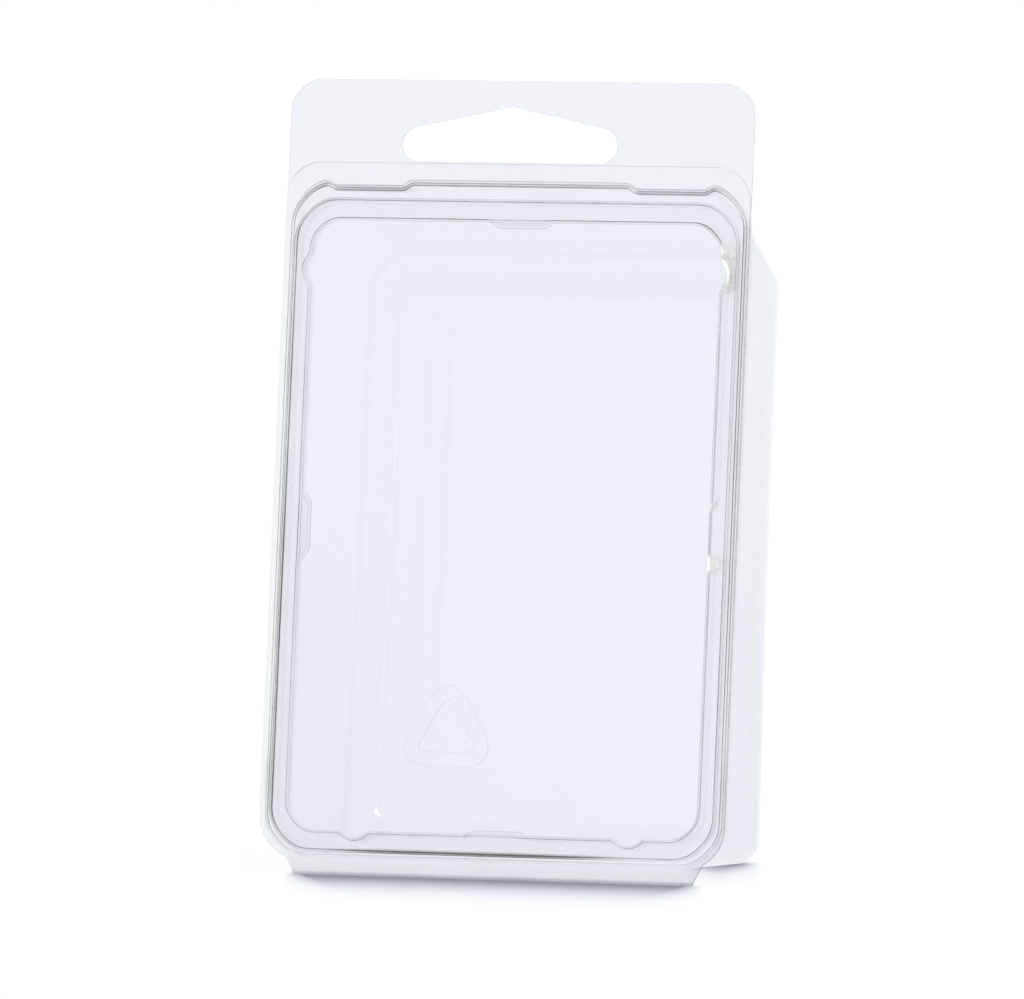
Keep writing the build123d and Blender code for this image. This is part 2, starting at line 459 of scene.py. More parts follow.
def panel_ring(grow, reach):
    """Panel outline, `grow` mm outside the plain one, with its bumps, and pockets pushed in by `reach`."""
    low, high = PANEL_LOW - grow, PANEL_HIGH + grow
    ring = round_ring(2 * (PANEL_HALF + grow), low, high, PANEL_CORNER, PANEL_CORNER)
    pocket = POCKET_LENGTH, POCKET_SLOPE, reach
    middle = (PANEL_LOW + PANEL_HIGH) / 2
    for side, way in ((RIGHT, 1), (LEFT, -1)):
        height = ring[side, 1]
        ring[side, 0] += way * (bump(height - PANEL_HIGH + BUMP_DROP) - lug(height - middle, *pocket))
    ring[TOP, 1] -= lug(ring[TOP, 0], *pocket)
    across = ring[BOTTOM, 0]
    ring[BOTTOM, 1] += lug(across, *pocket) - bump(np.abs(across) - PANEL_HALF + BUMP_INSET)
    return ring


def plug_ring(grow):
    """Outline of the groove's outer wall, `grow` mm outside the plain one."""
    low, high = PLUG_LOW - grow, PLUG_HIGH + grow
    return round_ring(2 * (PLUG_HALF + grow), low, high, PLUG_CORNER, PLUG_CORNER)


LID_PANEL_SHARES = (0.9, 0.6, 0.3)
groove_floor = LID_MIDDLE - GROOVE_DEPTH
lid_edge = at_depth(flange_ring(LID_HEIGHT, LID_CORNER), LID_MIDDLE)
panel_edge = at_depth(panel_ring(0, 0), LID_MIDDLE)
lid_rings = [
    lid_edge,
    at_depth(plug_ring(0), LID_MIDDLE),
    at_depth(plug_ring(-WALL_DRAFT), groove_floor),
    at_depth(panel_ring(WALL_DRAFT, POCKET_REACH), groove_floor),
    panel_edge,
    panel_rows(panel_edge, LID_PANEL_SHARES)[0],
]
print("lid panel in mm:", np.ptp(panel_edge[:, :2], axis=0).round(2))

# %% [markdown]
# The lines of a clear pack differ from side to side, because each wall is seen at its own angle and catches
# its own light. So each bend has four weights of painted shade, for its right, top, left and foot side. Along
# the foot the groove's wall is seen end on, and there its painted line is much heavier.

# %% Lid creases
# Weights of painted shade along the lid's bends, one for each side
PLUG_LINE, PLUG_CORNERS = (2.4, 0.9, 1.4, 1.2), (0.5, 0.8)
PLUG_WALL = 0.28, 0.1, 0.1, 0.1
PANEL_LINE = 0.58, 1.6, 1.4, 0.6
PANEL_WALL, PANEL_WALL_LEAST = (0.04, 0.05, 0.22, 0.05), 0.02
POCKET_LINE, POCKET_LINE_LEAST, POCKET_RISE = 0.4, 0.08, 3
FOOT_RISE, FOOT_MIDDLE, FOOT_HALF, FOOT_POWER = 1.5, -2.8, 18, 6
FOOT_LINE, FOOT_WALL_HIGH, FOOT_WALL_LOW = 3, 2.2, 1.6
GROOVE_LINE, WALL_LOW, GROOVE_LEVEL = 0.1, 0.04, 0.03
LID_SOFTS = 0.32, 0.4, 0.4, 0.32
LID_LINE_PLACES = 0.8, 0.3, 0.7, 0.2


def foot_line_weight(ring):
    """The heavier line along the foot: full near the foot's height, and over a flat-topped bell curve, with a
    sixth power in its exponent, round the foot's middle."""
    near_foot = smooth_step((PLUG_LOW + FOOT_RISE - ring[:, 1]) / FOOT_RISE)
    return near_foot * np.exp(-((ring[:, 0] - FOOT_MIDDLE) / FOOT_HALF) ** FOOT_POWER)


foot_weight = foot_line_weight(lid_rings[1])
pocket_push = np.linalg.norm(panel_ring(0, 1) - panel_ring(0, 0), axis=1)
pocket_line = POCKET_LINE_LEAST + POCKET_LINE * smooth_step(POCKET_RISE * pocket_push)
plug_line = by_side(lid_rings[1], *PLUG_LINE, PLUG_CORNERS) + FOOT_LINE * foot_weight
plug_wall = by_side(lid_rings[1], *PLUG_WALL) + FOOT_WALL_HIGH * foot_weight
panel_line = by_side(panel_edge, *PANEL_LINE)
panel_wall = by_side(panel_edge, *PANEL_WALL) * (1 - pocket_push) + PANEL_WALL_LEAST
lid_runs = [
    (0, 0), (plug_wall, WALL_LOW + FOOT_WALL_LOW * foot_weight), (GROOVE_LEVEL, GROOVE_LEVEL),
    (GROOVE_LEVEL, panel_wall), (0, 0),
]
lid_lines = [plug_line, GROOVE_LINE, pocket_line, panel_line]
lid_bends, lid_bend_shade = bent_rows(lid_rings, LID_SOFTS, lid_lines, LID_LINE_PLACES, lid_runs)
print("heaviest lid crease:", lid_bend_shade.max().round(2))

# %% Lid sheet
# Painted glints: white spots where the snap bumps and a pocket's end catch the light
PAINTED_GLINT_SPOTS = (
    (31.2, 86.6, 0.8, 2.2, 1.6), (31.0, 89.6, 0.8, 0.7, 1.2), (30.3, 45.3, 0.8, 0.9, 1.8),
    (30.6, 53.4, 0.7, 0.4, 0.5),
)
BELOW_PANEL = 0.02
LID_EDGE_SHADE = 2.3
lid_panel = panel_rows(panel_edge, LID_PANEL_SHARES)
lid_sheet = folded(np.concatenate([edge_rows(lid_edge, lid_rings[1]), lid_bends, lid_panel]), -1)
flat_edges = np.zeros((len(EDGE_INSETS), AROUND))
flat_panel = np.zeros((len(lid_panel), AROUND))
lid_traits = {
    "painted_bend_shade": np.concatenate([flat_edges, lid_bend_shade, flat_panel]) + fold_bend_shade(lid_sheet),
    "drawn": np.ones(lid_sheet.shape[:2]),
    "painted_glance_shade": np.zeros(lid_sheet.shape[:2]),
    "clear": np.zeros(lid_sheet.shape[:2]),
    "painted_glint": spots(lid_sheet, PAINTED_GLINT_SPOTS) * (lid_sheet[..., 2] < LID_MIDDLE - BELOW_PANEL),
    "painted_edge_shade": painted_edge_shade(lid_sheet, LID_EDGE_SHADE),
}
front_lid = shell("front_lid_sheet", lid_sheet, LID_MIDDLE, lid_traits)
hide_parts("front_lid")
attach(front_lid, "lid")

# %% [markdown]
# ## Back tray
# The tray's flange carries the hang tab. Its mouth has a straight lip for the lid's plug, with two shallow
# lugs at its head, then drafted walls run back to a shoulder, where a bevel leads to the back panel. The walls
# are straight lines between outlines, as a sheet stretched over a mould gives.

# %% Tray outlines
TRAY_MIDDLE = -SHEET / 2
MOUTH_HALF, MOUTH_LOW, MOUTH_HIGH, MOUTH_CORNER = 33.55, 2.8, 98.35, 6.4
HEAD_LUG_PLACE, HEAD_LUG_LENGTH, HEAD_LUG_SLOPE, HEAD_LUG_REACH = 22.35, 9.7, 1.7, 0.8
LIP_DEPTH = 3.8
LEDGE = 0.5
BODY_CUT, BODY_SOFT = 5.6, 1.2
SHOULDER_HALF, SHOULDER_LOW, SHOULDER_HIGH, SHOULDER_DEPTH = 30.55, 4.9, 91.4, 27.9
SHOULDER_CUTS, SHOULDER_SOFTS = (3.6, 1.7), (1.0, 0.35)
BACK_HALF, BACK_LOW, BACK_HIGH, BACK_DEPTH = 27.5, 9.95, 86.05, 33.1
BACK_CUTS, BACK_SOFTS = (1.4, 1.4), (0.7, 0.7)
FOOT_SPREAD, SPREAD_HIGH, SPREAD_LENGTH = 0.018, 65.0, 60.0


def mouth_ring(reach):
    """Tray mouth outline, with its two head lugs pushed in by `reach`."""
    ring = round_ring(2 * MOUTH_HALF, MOUTH_LOW, MOUTH_HIGH, MOUTH_CORNER, MOUTH_CORNER)
    push = lug(np.abs(ring[:, 0]) - HEAD_LUG_PLACE, HEAD_LUG_LENGTH, HEAD_LUG_SLOPE, reach)
    ring[:, 1] -= np.where(ring[:, 1] > MOUTH_HIGH / 2, push, 0)
    return ring


def spread(ring):
    """Outline whose sides stand out a little more towards its foot, by a share of their distance from the
    middle."""
    share = FOOT_SPREAD * smooth_step((SPREAD_HIGH - ring[:, 1]) / SPREAD_LENGTH)
    return ring * np.column_stack([1 + share, np.ones(len(ring))])


TRAY_PANEL_SHARES = (0.85, 0.55, 0.25)
body_cuts, body_softs = (BODY_CUT, CIRCLE_CUT * MOUTH_CORNER), (BODY_SOFT, CIRCLE_SOFT * MOUTH_CORNER)
body = cut_ring(2 * MOUTH_HALF, MOUTH_LOW, MOUTH_HIGH, body_cuts, body_softs)
shoulder = cut_ring(2 * SHOULDER_HALF, SHOULDER_LOW, SHOULDER_HIGH, SHOULDER_CUTS, SHOULDER_SOFTS)
back_edge = cut_ring(2 * BACK_HALF, BACK_LOW, BACK_HIGH, BACK_CUTS, BACK_SOFTS)
tray_edge = at_depth(flange_ring(TAB_HEIGHT, TAB_CORNER), TRAY_MIDDLE)
mouth = mouth_ring(HEAD_LUG_REACH)
back_panel = panel_rows(at_depth(spread(back_edge), -BACK_DEPTH), TRAY_PANEL_SHARES)
tray_rings = [
    tray_edge,
    at_depth(mouth, TRAY_MIDDLE),
    at_depth(mouth, LEDGE - LIP_DEPTH),
    at_depth(body, -LIP_DEPTH),
    at_depth(spread(shoulder), -SHOULDER_DEPTH),
    at_depth(spread(back_edge), -BACK_DEPTH),
    back_panel[0],
]
print("tray mouth in mm:", np.ptp(mouth, axis=0).round(2))

# %% Tray creases
# Weights of painted shade along the tray's bends, one for each side
MOUTH_LINE, MOUTH_CORNERS = (2.7, 1.3, 1.0, 0.2), (0.7, 1)
MOUTH_SOFTS, MOUTH_HEAD_SOFT = (0.6, 0.35, 0.35, 0.35), 0.35
SHOULDER_BENDS = 1.4, 1.4, 1.4, 0.4
BACK_LINE = 0.03, 0.02, 0.04, 0
LIP_BEND, BACK_BEND = 0.2, 1.2
FAINT_LINE = 0.04
TRAY_LINE_PLACES = 0.85, 0.5, 0.5, 0.5, 0.5
TRAY_RUNS = (0, 0), (0.05, 0.02), (0.02, 0.02), (0.01, 0.01), (0.01, 0.01), (0, 0)
HEAD_BAND, HEAD_FADE = 6, 5
HEAD_LINE, HEAD_LINE_ROW = 0.4, 2
head_share = smooth_step((mouth[:, 1] - MOUTH_HIGH + HEAD_BAND) / HEAD_FADE)
mouth_line = by_side(tray_rings[1], *MOUTH_LINE, MOUTH_CORNERS)
mouth_soft = by_side(tray_rings[1], *MOUTH_SOFTS) + MOUTH_HEAD_SOFT * head_share
tray_softs = [mouth_soft, LIP_BEND, LIP_BEND, by_side(shoulder, *SHOULDER_BENDS), BACK_BEND]
tray_lines = [mouth_line, FAINT_LINE, FAINT_LINE, FAINT_LINE, by_side(back_edge, *BACK_LINE)]
tray_bends, tray_bend_shade = bent_rows(tray_rings, tray_softs, tray_lines, TRAY_LINE_PLACES, TRAY_RUNS)
tray_bend_shade[HEAD_LINE_ROW] += HEAD_LINE * head_share
print("heaviest tray crease:", tray_bend_shade.max().round(2))

# %% [markdown]
# ## Hang hole
# The tab is punched with a slot that has a raised peak, so that a peg or a hook finds its middle. A Boolean
# could cut it, but that would leave ragged faces in a regular grid. Here the hole is a slit between two rows
# that opens where the hole is, so its edge gets a clean rim like any other cut.

# %% Hang hole
HOLE_WIDTH, HOLE_HEIGHT, HOLE_SHIFT = 32.0, 7.9, -1.6
HOLE_END, HOLE_PEAK, HOLE_CLEAR = 2.5, 1.0, 0.3
HOLE_LOW = LID_HEIGHT + HOLE_CLEAR


def hole_lines(count):
    """Upper and lower edge of the hang hole from its right end to its left: arcs at both ends and at the peak,
    joined by the straight lines that touch two circles."""
    end_centre = np.array([HOLE_WIDTH / 2 - HOLE_END, HOLE_LOW + HOLE_END])
    peak_centre = np.array([0, HOLE_LOW + HOLE_HEIGHT - HOLE_PEAK])
    run = end_centre - peak_centre
    slope = math.degrees(math.atan2(-run[1], run[0]))
    lean = math.degrees(math.asin((HOLE_END - HOLE_PEAK) / np.linalg.norm(run)))
    touch = 90 - slope + lean
    right = np.concatenate([arc(end_centre, HOLE_END, 0, touch), arc(peak_centre, HOLE_PEAK, touch, 90)])
    upper = np.concatenate([right, right[-2::-1] * [-1, 1]])
    quarter = arc(end_centre, HOLE_END, 0, -90)
    lower = np.concatenate([quarter, quarter[::-1] * [-1, 1]])
    return [even_points(line, count) + [HOLE_SHIFT, 0] for line in (upper, lower)]


tab_edges = edge_rows(tray_edge, tray_rings[1])
upper_row = (tab_edges[-1] + tray_bends[0]) / 2
lower_row = upper_row.copy()
hole_ends = HOLE_SHIFT + HOLE_WIDTH / 2 * np.array([1, -1])
first, last = [TOP.start + np.abs(upper_row[TOP, 0] - end).argmin() for end in hole_ends]
upper_row[first:last + 1, :2], lower_row[first:last + 1, :2] = hole_lines(last - first + 1)
tray_sheet = folded(np.concatenate([tab_edges, upper_row[None], lower_row[None], tray_bends, back_panel]), 1)
print("columns along the hang hole:", last - first + 1)

# %% [markdown]
# ## Where the tray is thin, shaded or clear
# A sheet thins as it is drawn, so the deep walls are paler than the flange. Low down the walls are seen at a
# glancing angle, through more plastic, and look darker, on each side in its own way; that darkening is painted
# shade in their tint. The lip and the narrow rim beside the mouth are bare of the tint. All of this is written
# as weights on the points, from their place on the tray.

# %% Tray sheet
# Painted shade: a darker tint low on the walls and towards each side
GLANCE_SHADE_HIGH, GLANCE_SHADE_FADE, BODY_FADE = 70, 60, 0.25
LEFT_LEVEL, LEFT_SLOPE, LEFT_MOST = 0.62, 0.42, 0.9
BAND_WEIGHT, BAND_IN, BAND_FADE = 0.4, 0.4, 0.8
RIGHT_IN, RIGHT_FADE, RIGHT_LEAST, RIGHT_GAIN = 2, 2.5, 0.35, 0.85
LIP_FADE, RIM_FADE, TAB_CLEAR, TAB_FADE = 0.6, 0.3, 2, 4
# Painted highlight: a white gleam down the tray's left bevel
PAINTED_GLEAMS = ((-27.6, 55, 0.5, 24, 0.14),)
TAB_EDGE_SHADE = 0.3
across, up, depth = tray_sheet[..., 0], tray_sheet[..., 1], -tray_sheet[..., 2]
near_flange = depth < LIP_DEPTH / 2
bevel_share = (depth - SHOULDER_DEPTH) / (BACK_DEPTH - SHOULDER_DEPTH)
low_share = smooth_step((GLANCE_SHADE_HIGH - up) / GLANCE_SHADE_FADE)
body_share = smooth_step((depth - LIP_DEPTH) / BODY_FADE)
left_share = np.clip(LEFT_LEVEL - LEFT_SLOPE * across / SHOULDER_HALF, 0, LEFT_MOST)
left_share += BAND_WEIGHT * smooth_step((BAND_IN - across - BACK_HALF) / BAND_FADE)
right_share = smooth_step((across - BACK_HALF + RIGHT_IN) / RIGHT_FADE)
right_share *= RIGHT_LEAST + RIGHT_GAIN * low_share
lip_share = smooth_step(depth / LIP_FADE) * (1 - smooth_step((depth - LIP_DEPTH) / LEDGE + 1))
beside_mouth = smooth_step((np.abs(across) - MOUTH_HALF + RIM_FADE) / RIM_FADE) * near_flange
below_tab = smooth_step((LID_HEIGHT - TAB_CLEAR - up) / TAB_FADE)
tab_flat = np.zeros((len(tab_edges) + 2, AROUND))
back_flat = np.zeros((len(back_panel), AROUND))
tray_traits = {
    "painted_bend_shade": np.concatenate([tab_flat, tray_bend_shade, back_flat]) + fold_bend_shade(tray_sheet) * near_flange,
    "drawn": smooth_step(depth / LIP_DEPTH) * (1 - smooth_step(bevel_share)),
    "painted_glance_shade": body_share * np.maximum(low_share * left_share, right_share),
    "clear": np.maximum(lip_share, beside_mouth * below_tab),
    "painted_glint": spots(tray_sheet, PAINTED_GLEAMS) * (bevel_share > 0.5),
    "painted_edge_shade": painted_edge_shade(tray_sheet, TAB_EDGE_SHADE),
}
hole_slit = len(tab_edges), first, last
back_tray = shell("back_tray_sheet", tray_sheet, TRAY_MIDDLE, tray_traits, slit=hole_slit)
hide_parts("back_tray")
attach(back_tray, "tray")

# %% [markdown]
# ## Raised mark on the panel
# Near the foot of the lid's panel the mould leaves a low raised mark. Here it is a plain triangle with round
# corners: a small half-round profile carried along a closed path. Its flanks carry painted shade, because a
# clear ridge is only seen where its sides turn away, and those that face right carry more, as they are steeper
# to the light.

# %% Ridge
RIDGE_PLACE = np.array([-6.9, 20.6])
RIDGE_RADIUS, RIDGE_SOFT, RIDGE_SOFT_STEPS = 7.6, 4.4, 16
RIDGE_WIDTH, RIDGE_HEIGHT, RIDGE_SINK = 2.2, 0.14, 0.03
RIDGE_STEPS, RIDGE_ROWS = 180, 24
# Painted shade on the ridge's flanks, more on those that face right
FLANK_LINE, FLANK_POWER, FLANK_EVEN = 0.15, 12, 0.5


def triangle_path(count):
    """Closed triangle with softened corners, anticlockwise, with points at equal lengths."""
    angle = np.radians([90, 210, 330])
    tips = RIDGE_PLACE + RIDGE_RADIUS * np.stack([np.cos(angle), np.sin(angle)], axis=1)
    befores, afters = np.roll(tips, 1, axis=0), np.roll(tips, -1, axis=0)
    curves = [bend_curve(*run, RIDGE_SOFT, RIDGE_SOFT_STEPS) for run in zip(befores, tips, afters)]
    line = np.concatenate(curves + [curves[0][:1]])
    return even_points(line, count + 1)[:-1]


def ridge(name):
    """Half-ellipse of the ridge's width and height, its back sunk a little into the sheet, along the path. Its
    flanks' weight is a high power of the cosine round the profile."""
    path = triangle_path(RIDGE_STEPS)
    along = toward(np.roll(path, 1, axis=0), np.roll(path, -1, axis=0))
    out = along[:, [1, 0]] * [1, -1]
    turn = np.linspace(0, 2 * np.pi, RIDGE_ROWS, endpoint=False)
    aside = np.cos(turn)[:, None]
    height = np.where(np.sin(turn) > 0, RIDGE_HEIGHT, RIDGE_SINK) * np.sin(turn)
    flat = path[None] + RIDGE_WIDTH / 2 * aside[..., None] * out[None]
    lift = np.broadcast_to(FLANGE_GAP + SHEET + height[:, None], flat.shape[:2])
    points = np.concatenate([flat, lift[..., None]], axis=2).reshape(-1, 3)
    number = np.arange(len(points)).reshape(RIDGE_ROWS, RIDGE_STEPS)
    number = np.pad(number, ((0, 1), (0, 1)), mode="wrap")
    faces = np.concatenate([strip(number[k], number[k + 1]) for k in range(RIDGE_ROWS)])
    to_right = np.clip(aside * out[None, :, 0], 0, 1)
    flank = FLANK_LINE * np.abs(aside) ** FLANK_POWER * (FLANK_EVEN + (1 - FLANK_EVEN) * to_right)
    return new_piece(name, points, faces.tolist(), {"painted_bend_shade": flank.ravel()})


panel_ridge = ridge("panel_ridge")
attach(panel_ridge, "lid")

# %% [markdown]
# ## Shader sums as Python
# A clear sheet's finish is a few sums on numbers that vary over it. They could be joined node by node, but
# these classes let them be written as plain expressions, and each operator adds one Math node.

# %% Shader helper
class Level:
    """One output socket of a finish. Arithmetic on it adds Math nodes to that finish."""

    def __init__(self, finish, socket):
        self.finish, self.socket = finish, socket

    def math(self, operation, first, second):
        """One Math node on two levels or numbers."""
        return self.finish.node("ShaderNodeMath", {"operation": operation}, {0: first, 1: second})

    def __add__(self, other):
        return self.math("ADD", self, other)

    def __mul__(self, other):
        return self.math("MULTIPLY", self, other)

    def __sub__(self, other):
        return self.math("SUBTRACT", self, other)

    def __rsub__(self, other):
        return self.math("SUBTRACT", other, self)

    def __truediv__(self, other):
        return self.math("DIVIDE", self, other)

    def __pow__(self, other):
        return self.math("POWER", self, other)

    def at_least(self, other):
        """The larger of the two."""
        return self.math("MAXIMUM", self, other)

    def at_most(self, other):
        """The smaller of the two."""
        return self.math("MINIMUM", self, other)

    __radd__, __rmul__ = __add__, __mul__


class Finish:
    """The nodes of a material, or of the world, under construction."""

    def __init__(self, owner):
        owner.use_nodes = True
        self.owner, self.tree = owner, owner.node_tree
        self.tree.nodes.clear()

    def node(self, kind, settings, sockets, out=0):
        """Adds a node: its settings first, then a value or a link for each socket. Returns one output."""
        made = self.tree.nodes.new(kind)
        for key, value in settings.items():
            setattr(made, key, value)
        for key, value in sockets.items():
            if isinstance(value, Level):
                self.tree.links.new(value.socket, made.inputs[key])
            else:
                made.inputs[key].default_value = value
        return Level(self, made.outputs[out]) if len(made.outputs) else made

    def mixed(self, share, first, second):
        """Two shaders mixed by a share, which is 0 for the first and 1 for the second."""
        return self.node("ShaderNodeMixShader", {}, {0: share, 1: first, 2: second})

    def see_through(self, colour):
        """Transparency tinted with a colour."""
        return self.node("ShaderNodeBsdfTransparent", {}, {"Color": colour})

    def noise(self, scale, detail):
        """Soft noise in the piece's own space, from about 0 to 1."""
        place = self.node("ShaderNodeTexCoord", {}, {}, "Object")
        return self.node("ShaderNodeTexNoise", {}, {"Vector": place, "Scale": scale, "Detail": detail}, "Fac")

    def trait(self, name):
        """A weight of the mesh's points, by its name."""
        return self.node("ShaderNodeAttribute", {"attribute_name": name}, {}, "Fac")


print("shader helpers:", Level.__name__, Finish.__name__)

# %% [markdown]
# ## Clear sheet
# Clear PET lets nearly all light through. What is seen is a faint cool tint, darker lines where it bends, and
# gloss that grows at a glancing angle. Real refraction shows nothing of this against a white surround, so the
# sheet is tinted transparency under a mirror that grows with the fifth power of the glancing angle, and the
# dark of the bends is painted in as grey shade along the creases. Where the sheet was drawn deep it is
# thinner, and its tint is paler. Low on the tray's walls the tint is darkened with painted shade. On the snap
# bumps, the ends of a pocket and the tray's left bevel, white is painted in as glints. The skin is never quite
# even, so a soft ripple bends its reflections and their sharpness varies.

# %% Clear sheet finish
WHITE = (1, 1, 1, 1)
# Painted shade: the grey mixed in along bends and on cut edges stands for the dark they show
PAINTED_SHADE_GREY = (0.08, 0.082, 0.072, 1)
GLINT_WHITE, GLINT_ROUGHNESS = (0.97, 0.97, 0.97, 1), 0.3
BARE_TINT = (0.948, 0.958, 0.957, 1)
WAVER_SCALE, WAVER_DETAIL = 90, 2
CLOUD_SCALE, CLOUD_DETAIL = 30, 3
RIPPLE_STRENGTH, RIPPLE_HEIGHT = 0.15, 0.0004
HEAD_ON_MIRROR, GLANCE_POWER = 0.04, 5
PLASTIC_IOR = 1.57
LINE_STRENGTH = 0.75
# What the noise varies: the least of each, and how far the noise takes it up
GLANCE_SHADE_VARIES, LINE_VARIES, GLINT_VARIES = (0.7, 0.6), (0.6, 0.8), (0.7, 0.8)
MIRROR_ROUGHNESS, BEND_SHADE_ROUGHNESS = (0.03, 0.08), (0.12, 0.15)


def varied(noise, least, swing):
    """A number that follows a noise: its least, plus its swing times the noise."""
    return least + swing * noise


def clear_sheet(name, tint, drawn_tint, glance_shade_tint):
    """Tinted film, paler where drawn and darkened by painted shade low on the walls, mirrored at glancing
    angles, with painted grey shade along its creases and painted white glints. Each share is a weight of the
    points, varied by noise."""
    finish = Finish(bpy.data.materials.new(name))
    waver = finish.noise(WAVER_SCALE, WAVER_DETAIL)
    cloud = finish.noise(CLOUD_SCALE, CLOUD_DETAIL)
    full, thin, glance_shaded, bare = map(finish.see_through, (tint, drawn_tint, glance_shade_tint, BARE_TINT))
    film = finish.mixed(finish.trait("drawn"), full, thin)
    # Painted shade: the darker tint where the walls are seen at a glance
    film = finish.mixed(finish.trait("painted_glance_shade") * varied(cloud, *GLANCE_SHADE_VARIES), film, glance_shaded)
    film = finish.mixed(finish.trait("clear"), film, bare)
    ripple = finish.node("ShaderNodeBump", {}, {
        "Strength": RIPPLE_STRENGTH, "Distance": RIPPLE_HEIGHT, "Height": cloud,
    })
    mirror = finish.node("ShaderNodeBsdfGlossy", {}, {
        "Color": WHITE, "Roughness": varied(waver, *MIRROR_ROUGHNESS), "Normal": ripple,
    })
    glance = finish.node("ShaderNodeLayerWeight", {}, {"Blend": 0.5}, "Facing")
    share = HEAD_ON_MIRROR + (1 - HEAD_ON_MIRROR) * glance ** GLANCE_POWER
    glossy = finish.mixed(share, film, mirror)
    painted_grey = finish.node("ShaderNodeBsdfPrincipled", {}, {
        "Base Color": PAINTED_SHADE_GREY, "Roughness": varied(waver, *BEND_SHADE_ROUGHNESS), "IOR": PLASTIC_IOR,
    })
    # Painted shade along the bends, by their weight and a noise
    line = finish.trait("painted_bend_shade") * varied(waver, *LINE_VARIES) * LINE_STRENGTH
    lined = finish.mixed(line.at_most(1), glossy, painted_grey)
    white = finish.node("ShaderNodeBsdfPrincipled", {}, {
        "Base Color": GLINT_WHITE, "Roughness": GLINT_ROUGHNESS,
    })
    # Painted glints and highlights: white where their weight says
    glint = finish.trait("painted_glint") * varied(waver, *GLINT_VARIES)
    surface = finish.mixed(glint.at_most(1), lined, white)
    finish.node("ShaderNodeOutputMaterial", {}, {"Surface": surface})
    return finish.owner


# The third tint of each is the darker one used for painted shade
LID_TINTS = (0.99, 0.992, 0.996, 1), (0.988, 0.99, 0.995, 1), (0.97, 0.977, 0.98, 1)
TRAY_TINTS = (0.920, 0.934, 0.966, 1), (0.932, 0.944, 0.971, 1), (0.900, 0.922, 0.950, 1)
lid_film = clear_sheet("clear_lid_film", *LID_TINTS)
tray_film = clear_sheet("clear_tray_film", *TRAY_TINTS)
print("films:", lid_film.name, tray_film.name)

# %% [markdown]
# ## Cut edge
# A steel rule shears the sheet, so the edge of the flange and of the hang hole is finely torn. Seen along the
# sheet's length it is darker and less clear than the face. It could be more of the clear finish, but the eye
# reads a pack's outline from this edge, so it gets its own: the same painted grey shade over near-clear film,
# in a share that follows the painted edge shade weight and a fine noise.

# %% Cut edge finish
EDGE_TINT = (0.95, 0.955, 0.965, 1)
TEAR_SCALE, TEAR_DETAIL = 700, 3
TEAR_STRENGTH, TEAR_HEIGHT = 0.4, 0.0001
EDGE_SHADE_VARIES, EDGE_ROUGHNESS = (0.15, 0.4), (0.25, 0.3)
TRANSPARENT_BOUNCES = 32


def cut_edge(name):
    """Painted grey shade over clear film, in a share of the edge shade weight times a noise, with the tear as
    relief.
    """
    finish = Finish(bpy.data.materials.new(name))
    tear = finish.noise(TEAR_SCALE, TEAR_DETAIL)
    relief = finish.node("ShaderNodeBump", {}, {
        "Strength": TEAR_STRENGTH, "Distance": TEAR_HEIGHT, "Height": tear,
    })
    painted_grey = finish.node("ShaderNodeBsdfPrincipled", {}, {
        "Base Color": PAINTED_SHADE_GREY, "Roughness": varied(tear, *EDGE_ROUGHNESS), "Normal": relief,
    })
    # Painted shade on the cut edge, by its weight and a fine noise
    share = finish.trait("painted_edge_shade") * varied(tear, *EDGE_SHADE_VARIES)
    surface = finish.mixed(share, finish.see_through(EDGE_TINT), painted_grey)
    finish.node("ShaderNodeOutputMaterial", {}, {"Surface": surface})
    return finish.owner


edge = cut_edge("sheared_edge")
for piece, film in ((front_lid, lid_film), (back_tray, tray_film)):
    piece.data.materials.append(film)
    piece.data.materials.append(edge)
panel_ridge.data.materials.append(lid_film)
bpy.context.scene.cycles.transparent_max_bounces = TRANSPARENT_BOUNCES
print("finishes:", [m.name for m in bpy.data.materials])

# %% [markdown]
# ## Floor and surround
# The pack stands on a white sweep. The eye sees through the floor to the even white of the surround, with a
# little of its lit surface, so the lid can still be seen when it is opened below the fold. A clear pack hardly
# shades the floor, but little light gets into the gaps beside the two lines on which it stands. That shade is
# written as what it is, a soft fall with the distance from the fold and from the tray's rear edge.

# %% Contact shade
SHADE_REACH, SHADE_POWER, SHADE_BEHIND = 0.012, 1.5, 0.0015
SHADE_SOFT = 0.003
SHADE_WAY = 0.32
PENUMBRA = 0.4


def between(level, low, high, low_soft, high_soft):
    """1 between two values and 0 outside them, with a straight ramp of a given length beyond each end."""
    rise = (level - low) / low_soft + 1
    fall = (high - level) / high_soft + 1
    return rise.at_most(fall).at_least(0).at_most(1)


def contact_shade(across, along, line, low, high, low_soft=SHADE_SOFT):
    """Shade along a line of contact from low to high, thrown forwards and to the right by light from behind:
    in front it falls off as the exponential of a power of the distance, and behind it as a short plain
    exponential. Its ends grow softer and draw in with the distance in front."""
    ahead = line - along
    in_front = ahead.at_least(0)
    blur = PENUMBRA * in_front
    fall = in_front * (1 / SHADE_REACH)
    rise = ahead.at_most(0) * (1 / SHADE_BEHIND)
    shade = fall.math("EXPONENT", rise - fall ** SHADE_POWER, 0)
    place = across - SHADE_WAY * ahead
    return shade * between(place, low + blur, high - blur, low_soft + blur, SHADE_SOFT + blur)


print("shade's reach in mm:", round(SHADE_REACH / MM, 1))

# %% Floor
FLOOR_HALF = 6.0
FLOOR_GLOW = 0.9
FOLD_SPAN = -0.0275, 0.0285
REAR_FOOT, REAR_SPAN, REAR_SOFT = 0.0045, (0.021, 0.0288), 0.0015
SHADE_DEPTH, SHADE_CORE, SHADE_RIM = 0.8, (0, 0, 0, 1), (0, 0.14, 0.45, 1)


